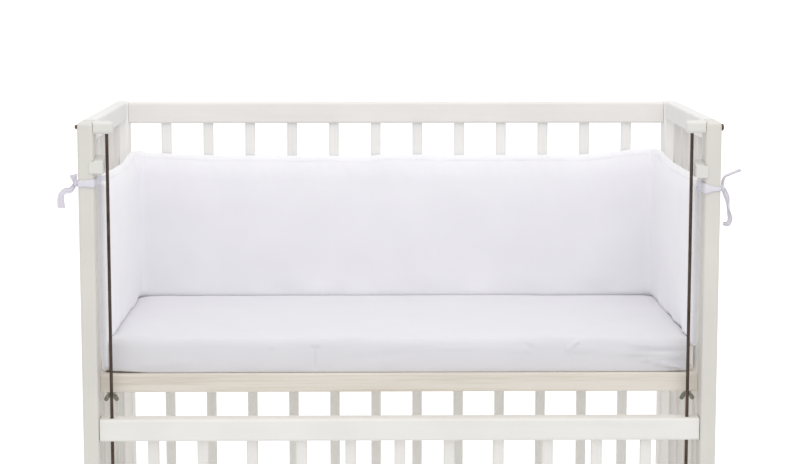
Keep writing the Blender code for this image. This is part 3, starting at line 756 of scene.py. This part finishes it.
class Pad:
    """The bumper's shape: a padded panel bent round three sides of the crib."""

    def __init__(self):
        low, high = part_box("bumper")
        self.half_x = high.x
        self.back = high.y
        self.front = low.y
        self.wing = self.back - PAD_CORNER - self.front
        self.straight = 2 * (self.half_x - PAD_CORNER)
        self.arc = PAD_CORNER * math.pi / 2
        self.total = 2 * self.wing + 2 * self.arc + self.straight
        self.bar_pitch = (2 * (self.half_x + GAP) + BAR_WIDTH) / (BACK_BARS + 1)
        crib_front, crib_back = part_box("post_front_left")[0].y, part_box("post_back_left")[1].y
        self.end_pitch = (crib_back - crib_front - 2 * POST_DEPTH + BAR_WIDTH) / (END_BARS + 1)

    def plan(self, run):
        """The outer face's place and the way inwards, at a distance from the left front end."""
        if run > self.total / 2:
            place, inward = self.plan(self.total - run)
            return Vector((-place.x, place.y, 0)), Vector((-inward.x, inward.y, 0))
        if run < self.wing:
            return Vector((-self.half_x, self.front + run, 0)), Vector((1, 0, 0))
        run -= self.wing
        if run < self.arc:
            angle = run / PAD_CORNER
            outward = Vector((-math.cos(angle), math.sin(angle), 0))
            centre = Vector((-self.half_x + PAD_CORNER, self.back - PAD_CORNER, 0))
            return centre + outward * PAD_CORNER, -outward
        run -= self.arc
        return Vector((-self.half_x + PAD_CORNER + run, self.back, 0)), Vector((0, -1, 0))

    def limits(self, run):
        """The bottom and top edge at a distance along, with rounded corners at both ends."""
        share = run / self.total
        top = read_table(PAD_TOP, "along", "high", share) + waves(PAD_TOP_WAVES, run)
        bottom = read_table(PAD_BOTTOM, "along", "high", share)
        end = min(run, self.total - run)
        drawn = 0.0
        if end < PAD_END_CORNER:
            drawn = PAD_END_CORNER - math.sqrt(PAD_END_CORNER ** 2 - (PAD_END_CORNER - end) ** 2)
        return bottom + drawn, top - drawn, drawn

    def inside(self, run, z):
        """How far a place lies inside the panel's outline."""
        bottom, top, drawn = self.limits(run)
        end = min(run, self.total - run)
        nearest = min(z - (bottom - drawn), (top + drawn) - z)
        if end < PAD_END_CORNER and nearest < PAD_END_CORNER:
            across = math.hypot(PAD_END_CORNER - end, PAD_END_CORNER - nearest)
            return max(PAD_END_CORNER - across, 0.0)
        return max(min(end, nearest), 0.0)

    def between_bars(self, place):
        """0 where a bar or post backs the pad and 1 midway between two bars."""
        if place.y > self.back - PAD_BACK_NEAR:
            offset, pitch = place.x, self.bar_pitch
            inside_span = abs(place.x) < self.half_x - PAD_BACK_MARGIN
        else:
            offset, pitch = place.y, self.end_pitch
            inside_span = abs(place.y) < 0.5 * (END_BARS + 1) * self.end_pitch - BAR_WIDTH / 2
        if not inside_span:
            return 0.0
        phase = (offset / pitch) % 1.0
        away = abs(phase - 0.5) * pitch
        gap = pitch / 2 - BAR_WIDTH / 2
        return smooth(min(away, gap) / gap * PAD_BULGE_STEEP)

    def puckers(self, run, z, below):
        """Small gathers that the topstitching draws up, strongest beside it."""
        slant = run + PAD_PUCKER_SLANT * (z - PAD_PUCKER_LEVEL)
        return waves(PAD_PUCKERS, slant, z) * math.exp(-max(below, 0) / PAD_PUCKER_FADE)

    def edge_half(self, run, edge):
        """Half the thickness of the flat edge, with its rolled rim, at a distance inside the outline."""
        half = PAD_SEAM / 2
        rim = PAD_RIM_HALF * (1 + waves(PAD_RIM_WAVES, run))
        if edge < half:
            towards_rim = (half - edge) / (half * PAD_RIM_OVERRUN)
            return max(rim * math.sqrt(max(1 - towards_rim ** 3, 0)), PAD_SEAM_LEAST)
        if edge < PAD_SEAM:
            bow = 1 - ((edge - half) / half) ** 2
            return math.sqrt(PAD_SEAM_HALF ** 2 + (rim ** 2 - PAD_SEAM_HALF ** 2) * bow)
        return PAD_SEAM_HALF

    def edge_middle(self, edge, rise):
        """How far the middle of the flat edge lies inwards. Near the top it leans back to the bars."""
        forward = PAD_SEAM_FORWARD * smooth((rise - PAD_FORWARD_START) / PAD_FORWARD_OVER)
        lean = min(edge / PAD_SEAM, 1.0) - PAD_LEAN_ABOUT
        lean *= smooth((rise - PAD_LEAN_START) / PAD_LEAN_OVER)
        return PAD_SEAM_MIDDLE + forward + PAD_SEAM_LEAN * lean

    def filled(self, run, z, top, rise, edge):
        """How thick the filled part is, with its hollows, its lap over the sheet and its puckers."""
        thick = read_table(PAD_THICKNESS, "rise", "thick", rise)
        thick += smooth((rise - PAD_FREE_RISE) / PAD_FREE_FADE) * waves(PAD_HOLLOWS, run, z)
        near_sheet = math.exp(-((rise - PAD_LAP_RISE) / PAD_LAP_SPREAD) ** 2)
        thick += waves(PAD_LAP_WAVES, run, z) * near_sheet
        return thick + self.puckers(run, z, top - z - PAD_SEAM) * smooth(edge / PAD_SEAM)

    def depths(self, run, z):
        """How far the outer and the inner face lie inwards of the line that the crib backs."""
        top = self.limits(run)[1]
        rise = (z - PAD_SEAT) / (top - PAD_SEAT)
        edge = self.inside(run, z)
        end = min(run, self.total - run)
        middle = self.edge_middle(edge, rise)
        half = self.edge_half(run, edge)
        swell = 1 - math.exp(-max(edge - PAD_SEAM, 0) / PAD_SWELL)
        body = self.filled(run, z, top, rise, edge)
        outside = -PAD_BULGE * self.between_bars(self.plan(run)[0]) * smooth(rise / PAD_FREE_FADE)
        outer = (middle - half) * (1 - swell) + outside * swell
        inner = (middle + half) * (1 - swell) + body * swell
        on_end = smooth((top - z - end) / PAD_END_TOP) * (1 - smooth((end - PAD_END_REACH) / PAD_END_FADE))
        if on_end > 0:
            body += (PAD_END_THICK - body) * (1 - smooth((end - PAD_END_FULL) / PAD_END_EASE))
            turned = math.sqrt(max(1 - (1 - min(edge / PAD_END_ROUND, 1)) ** 2, PAD_END_LEAST))
            centre = (body + outside) / 2 * (1 - turned)
            outer += (centre + outside * turned - outer) * on_end
            inner += (centre + body * turned - inner) * on_end
        inner += folds_at(PAD_CREASES, run, z)
        return outer, inner

    def point(self, run, z, face):
        """A place on the inner or outer face, where the row of stitches runs a little unevenly."""
        outer, inner = self.depths(run, z)
        place, inward = self.plan(run)
        from_seam = (self.limits(run)[1] - z - PAD_SEAM) / PAD_SEAM_SPREAD
        wave = waves(PAD_SEAM_WAVES, run) * math.exp(-from_seam ** 2)
        return Vector((0, 0, z + wave)) + place + inward * (inner if face == "inner" else outer)


def spread(start, end, count):
    """Even steps from the start up to, but not including, the end."""
    return [start + (end - start) * i / count for i in range(count)]


def build_bumper(pad, mat):
    last = PAD_EDGE_STEPS[-1]
    corner_start = pad.wing - PAD_CORNER_MARGIN
    corner_end = pad.wing + pad.arc + PAD_CORNER_MARGIN
    runs = list(PAD_EDGE_STEPS[:-1])
    runs += spread(last, corner_start, PAD_WING_COLUMNS)
    runs += spread(corner_start, corner_end, PAD_CORNER_COLUMNS)
    runs += spread(corner_end, pad.total / 2, PAD_BACK_COLUMNS)
    runs += [pad.total / 2] + [pad.total - run for run in reversed(runs)]
    front, back = [], []
    for run in runs:
        bottom, top = pad.limits(run)[:2]
        levels = [bottom + step for step in PAD_EDGE_STEPS[:-1]]
        levels += spread(bottom + last, top - last, PAD_ROWS)
        levels += [top - step for step in reversed(PAD_EDGE_STEPS)]
        front.append([pad.point(run, z, "inner") for z in levels])
        back.append([pad.point(run, z, "outer") for z in levels])
    bm = bmesh.new()
    add_double_skin(bm, front, back)
    obj = new_piece("bumper_pad", bm, mat, ["bumper"])


def add_stitch(bm, start, end, out):
    """One sewn stitch: a short thread that dips into the cloth at both ends."""
    run = end - start
    side = run.cross(out).normalized()
    rings = []
    for share, lift, size in STITCH_PROFILE:
        centre = start + run * share + out * lift * STITCH_RADIUS
        ring = []
        for corner in range(STITCH_CORNERS):
            angle = corner * math.tau / STITCH_CORNERS
            ring.append(centre + (side * math.cos(angle) + out * math.sin(angle)) * STITCH_RADIUS * size)
        rings.append(ring)
    add_rings(bm, rings)


def build_stitching(pad, mat):
    """The row of stitches along the bumper's top edge, on both faces."""
    bm = bmesh.new()
    count = int((pad.total - 2 * PAD_END_CORNER) / STITCH_PITCH)
    for face, sign in (("inner", 1), ("outer", -1)):
        for i in range(count):
            run = PAD_END_CORNER + i * STITCH_PITCH
            top = pad.limits(run)[1]
            ahead = pad.limits(run + STITCH_LENGTH)[1]
            start = pad.point(run, top - PAD_SEAM, face)
            end = pad.point(run + STITCH_LENGTH, ahead - PAD_SEAM, face)
            add_stitch(bm, start, end, pad.plan(run)[1] * sign)
    new_piece("bumper_stitching", bm, mat)


def rounded_place(x, y, half_x, half_y, radius):
    """A place on a rectangle's rim moved onto the same rectangle with round corners."""
    inner = Vector((min(max(x, radius - half_x), half_x - radius),
                    min(max(y, radius - half_y), half_y - radius)))
    away = Vector((x, y)) - inner
    if away.length < 1e-9:
        return inner
    return inner + away.normalized() * radius


def rim_shares(cells_x, cells_y):
    """Places round a square's rim from -1 to 1, anticlockwise, in step with a grid's cells."""
    along_x = [2 * i / cells_x - 1 for i in range(cells_x)]
    along_y = [2 * i / cells_y - 1 for i in range(cells_y)]
    rim = [(x, -1.0) for x in along_x] + [(1.0, y) for y in along_y]
    return rim + [(-x, 1.0) for x in along_x] + [(-1.0, -y) for y in along_y]


def sheet_relief(place, height, front):
    """How far the sheet stands out from the plain mattress: its soft unevenness, and folds on its front."""
    relief = waves(SHEET_WAVES, *place)
    if place.y < front + SHEET_FOLD_REACH:
        relief += folds_at(SHEET_FOLDS, place.x, height)
    return relief


def sheet_rise(place, height, front):
    """How far the sheet's front lies higher or lower than the plain mattress."""
    near_front = 1 - smooth((place.y - front) / SHEET_FRONT_REACH)
    upper = smooth((height - SHEET_UPPER_START) / SHEET_UPPER_OVER)
    lower = 1 - smooth(height / SHEET_LOWER_OVER)
    lift = 0.0
    for end in SHEET_LIFTS:
        lift += end["high"] * smooth((end["side"] * place.x - end["start"]) / end["over"])
    return near_front * (waves(SHEET_EDGE_WAVES, place.x) * upper + lift * lower)


def sheet_outline(row, low, high):
    """The middle and the half sizes of the mattress's outline at a row of its profile."""
    front = low.y + max(row["front"], 0.0)
    side = max(row["side"], 0.0)
    back = high.y - side
    return (back + front) / 2, high.x - side, (back - front) / 2, side


def add_sheet_sides(bm, rows, rim, low, high):
    """Rings up the mattress's side, joined and closed below. Gives the highest ring."""
    rings = []
    for row in rows:
        middle_y, half_x, half_y, side = sheet_outline(row, low, high)
        ring = []
        for u, v in rim:
            radius = (SHEET_FRONT_CORNER if v < 0 else SHEET_BACK_CORNER) - side / 2
            place = rounded_place(u * half_x, v * half_y, half_x, half_y, max(radius, SHEET_LEAST_CORNER))
            ring.append(bm.verts.new((place.x, middle_y + place.y, low.z + row["height"])))
        rings.append(ring)
    for near, far in zip(rings, rings[1:]):
        for i in range(len(rim)):
            j = (i + 1) % len(rim)
            bm.faces.new((near[i], near[j], far[j], far[i]))
    bm.faces.new(rings[0])
    return rings[-1]


def add_sheet_top(bm, row, ring, low, high):
    """A grid of cells across the top, on the highest ring."""
    cells_x, cells_y = SHEET_CELLS
    middle_y, half_x, half_y = sheet_outline(row, low, high)[:3]
    top = [[None] * (cells_y + 1) for _ in range(cells_x + 1)]
    for i in range(cells_x):
        top[i][0] = ring[i]
        top[cells_x - i][cells_y] = ring[cells_x + cells_y + i]
    for j in range(cells_y):
        top[cells_x][j] = ring[cells_x + j]
        top[0][cells_y - j] = ring[2 * cells_x + cells_y + j]
    for i in range(1, cells_x):
        for j in range(1, cells_y):
            x = (2 * i / cells_x - 1) * half_x
            y = middle_y + (2 * j / cells_y - 1) * half_y
            top[i][j] = bm.verts.new((x, y, low.z + row["height"]))
    for i in range(cells_x):
        for j in range(cells_y):
            bm.faces.new((top[i][j], top[i + 1][j], top[i + 1][j + 1], top[i][j + 1]))


def build_mattress(mat):
    low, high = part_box("mattress")
    rows = smooth_rows(SHEET_PROFILE, SHEET_ROWS)
    bm = bmesh.new()
    ring = add_sheet_sides(bm, rows, rim_shares(*SHEET_CELLS), low, high)
    add_sheet_top(bm, rows[-1], ring, low, high)
    bmesh.ops.recalc_face_normals(bm, faces=bm.faces)
    bm.normal_update()
    for vert in bm.verts:
        height = vert.co.z - low.z
        held = smooth(height / SHEET_HELD)
        rise = sheet_rise(vert.co, height, low.y)
        vert.co += vert.normal * sheet_relief(vert.co, height, low.y) * held
        vert.co.z += rise
    obj = new_piece("mattress_in_sheet", bm, mat, ["mattress"])


def tape_grid(points, widths, flats):
    """The two faces of a tape along points, as grids. Where it is drawn narrow it folds lengthwise."""
    front, back = [], []
    last = len(points) - 1
    for i, point in enumerate(points):
        run = (points[min(i + 1, last)] - points[max(i - 1, 0)]).normalized()
        flat = (flats[i] - run * flats[i].dot(run)).normalized()
        skin = run.cross(flat)
        fold = math.sqrt(max(TAPE_WIDTH ** 2 - widths[i] ** 2, 0)) / TAPE_FOLD_DIVISOR
        near, far = [], []
        for j in range(TAPE_COLUMNS):
            across = 2 * j / (TAPE_COLUMNS - 1) - 1
            lift = -fold * math.cos(2 * math.pi * across) / 2
            at = point * TAPE_WAVE_PACE + Vector((across * TAPE_WAVE_ACROSS, 0, 0))
            lift += TAPE_WAVE * noise.noise(at)
            centre = point + flat * across * widths[i] / 2 + skin * lift
            near.append(centre + skin * TAPE_THICK / 2)
            far.append(centre - skin * TAPE_THICK / 2)
        front.append(near)
        back.append(far)
    return front, back


def path_length(points):
    return sum((b - a).length for a, b in zip(points, points[1:]))


def add_tie_end(bm, rows, knot, sx):
    """A free end of the tape from the knot on. Gives its length."""
    points, flats = [], []
    rows = smooth_rows(rows, TAPE_SMOOTH)
    for row in rows:
        points.append(knot + Vector((sx * row["out"], -row["front"], row["up"])))
    last = len(points) - 1
    for i, row in enumerate(rows):
        run = (points[min(i + 1, last)] - points[max(i - 1, 0)]).normalized()
        across = run.cross(Vector((0, -1, 0)))
        flats.append(Matrix.Rotation(math.radians(row["turn"]), 3, run) @ across)
    front, back = tape_grid(points, [row["width"] for row in rows], flats)
    add_double_skin(bm, front, back)
    return path_length(points)


def add_band(bm, sx, z, band_widths, post_x, post_y):
    """The tape's turn round the post, drawn together towards the knot. Gives its length."""
    width_inside, width_outside = band_widths
    half_x = POST_WIDTH / 2 + GAP + TAPE_THICK / 2
    half_y = POST_DEPTH / 2 + GAP + TAPE_THICK / 2
    power = BAND_SQUARE - 1
    rings = []
    for u, v in rim_shares(*BAND_CELLS):
        place = rounded_place(u * half_x, v * half_y, half_x, half_y, BAND_CORNER)
        inwards = max((1 - sx * place.x / half_x) / 2, 0.0)
        width = width_outside + (width_inside - width_outside) * inwards ** BAND_DRAW
        skin_x = place.x / half_x ** BAND_SQUARE * abs(place.x) ** power
        skin_y = place.y / half_y ** BAND_SQUARE * abs(place.y) ** power
        skin = Vector((skin_x, skin_y, 0)).normalized() * TAPE_THICK / 2
        centre = Vector((post_x + place.x, post_y + place.y, z))
        ring = []
        for side in (-1, 1):
            for j in range(BAND_COLUMNS):
                across = (2 * j / (BAND_COLUMNS - 1) - 1) * -side
                at = Vector((place.x * BAND_WAVE_PACE, place.y * BAND_WAVE_PACE, across))
                up = across * width / 2 + BAND_WAVE * noise.noise(at)
                ring.append(centre + skin * (side + BAND_OFF) + Vector((0, 0, up)))
        rings.append(ring)
    add_rings(bm, rings, closed=True)
    return 4 * (half_x + half_y)


def add_knot(bm, knot):
    """A pulled knot: a small lump with slanting ridges where the tape crosses itself."""
    made = bmesh.ops.create_uvsphere(bm, u_segments=28, v_segments=18, radius=KNOT_RADIUS)
    pace_x, pace_z = KNOT_RIDGE_PACE
    for vert in made["verts"]:
        ridge = 1 + KNOT_RIDGE * math.sin(vert.co.z * pace_z + vert.co.x * pace_x)
        vert.co = vert.co * Vector(KNOT_SHAPE) * ridge + knot


def add_tab(bm, sx, z, inner_face, back_face):
    """The tape's own end, sewn flat on the bumper's front edge beside the post. Gives its length."""
    points = []
    for row in smooth_rows(TAB_ROUTE, TAB_SMOOTH):
        points.append(Vector((inner_face - sx * row["inwards"], back_face + row["behind"], z)))
    front, back = tape_grid(points, [TAPE_WIDTH] * len(points), [Vector((0, 0, 1))] * len(points))
    add_double_skin(bm, front, back)
    return path_length(points)


def side_faces(post, sx):
    """Where a post's outer and inner face lie along the crib."""
    low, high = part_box(post)
    return (high.x, low.x) if sx > 0 else (low.x, high.x)


def build_tie(side, tie, mat):
    sx, z, post = tie["sx"], tie["z"], f"post_front_{side}"
    low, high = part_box(post)
    outer, inner = side_faces(post, sx)
    knot = Vector((outer + sx * (GAP + KNOT_RADIUS * KNOT_SINK), low.y + KNOT_BEHIND_FRONT, z))
    bm = bmesh.new()
    length = add_band(bm, sx, z, tie["band"], (low.x + high.x) / 2, (low.y + high.y) / 2)
    length += add_tab(bm, sx, z, inner, high.y)
    for rows in tie["ends"]:
        length += add_tie_end(bm, rows, knot, sx)
    add_knot(bm, knot)
    obj = new_piece(f"tie_tape_{side}", bm, mat, [f"tie_{side}"])


def build_bolts(mat):
    """Domed bolt heads on the front posts' outer faces."""
    for side, bolt in BOLTS.items():
        sx, z, post = bolt["sx"], bolt["z"], f"post_front_{side}"
        outer = side_faces(post, sx)[0]
        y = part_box(post)[0].y + BOLT_BEHIND_FRONT
        rings = []
        for out, size in BOLT_PROFILE:
            radius = bolt["radius"] * size
            ring = []
            for corner in range(BOLT_CORNERS):
                angle = corner * math.tau / BOLT_CORNERS
                around = Vector((0, radius * math.cos(angle), radius * math.sin(angle)))
                ring.append(Vector((outer + sx * out, y, z)) + around)
            rings.append(ring)
        bm = bmesh.new()
        add_rings(bm, rings)
        new_piece(f"bolt_head_{side}", bm, mat)


def finish_name(node):
    """The finish that goes with a CAD node's name."""
    for word, finish in FINISH_OF_WORD.items():
        if word in node:
            return finish
    kind = "rail" if node.endswith("rail") else "bar"
    return f"{node.split('_')[0]}_{kind}"


def finish_wood_and_metal(nodes):
    """Gives each CAD piece that shows as it is its own finish. Other pieces stand for the soft ones."""
    finishes = {
        # copies of one white paint, lighter or darker per group as painted light and shade; the posts and
        # end bars get painted shade
        "post": paint("paint_posts_shaded", POST_PAINT_SHADED, "Z"),
        "back_post": paint("paint_back_posts", BACK_POST_PAINT, "Z"),
        "end_rail": paint("paint_end_rails", END_PAINT, "Y"),
        "end_bar": paint("paint_end_bars_shaded", END_BAR_PAINT_SHADED, "Z"),
        "back_rail": paint("paint_back_rails", BACK_PAINT, "X"),
        "back_bar": paint("paint_back_bars", BAR_PAINT, "Z"),
        "side_rail": paint("paint_side_rails", SIDE_PAINT, "X"),
        "side_bar": paint("paint_side_bars", SIDE_PAINT, "Z"),
        "block": paint("paint_blocks", BLOCK_PAINT, "Y"),
        "wood": cream_wood(),
        "rod": metal("rod_steel", STEEL, roughness=0.38, spots=60),
        "zinc": metal("wing_nut_zinc", ZINC, roughness=0.36, spots=320),
    }
    for name, obj in nodes.items():
        finish = finishes.get(finish_name(name))
        if finish is not None:
            obj.data.materials.clear()
            obj.data.materials.append(finish)


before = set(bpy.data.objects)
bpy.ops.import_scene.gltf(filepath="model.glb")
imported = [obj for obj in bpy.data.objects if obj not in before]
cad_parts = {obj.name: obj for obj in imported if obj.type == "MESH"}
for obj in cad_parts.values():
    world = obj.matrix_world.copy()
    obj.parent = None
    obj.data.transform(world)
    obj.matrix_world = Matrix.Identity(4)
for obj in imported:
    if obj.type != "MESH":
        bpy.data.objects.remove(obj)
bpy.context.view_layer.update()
place_camera()
build_floor()
build_sky()
build_lights()
finish_wood_and_metal(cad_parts)
pad_cloth = cotton("bumper_cloth", PAD_COTTON, through=0.35)
pad = Pad()
build_bumper(pad, pad_cloth)
build_stitching(pad, cotton("sewing_thread", THREAD, pitch=0.0005))
build_mattress(cotton("fitted_sheet_cloth", SHEET_COTTON, through=0.35))
tape_cloth = cotton("tape_cloth", TAPE_COTTON)
for side, tie in TIES.items():
    build_tie(side, tie, tape_cloth)
build_bolts(metal("bolt_steel", STEEL, roughness=0.4, spots=300))
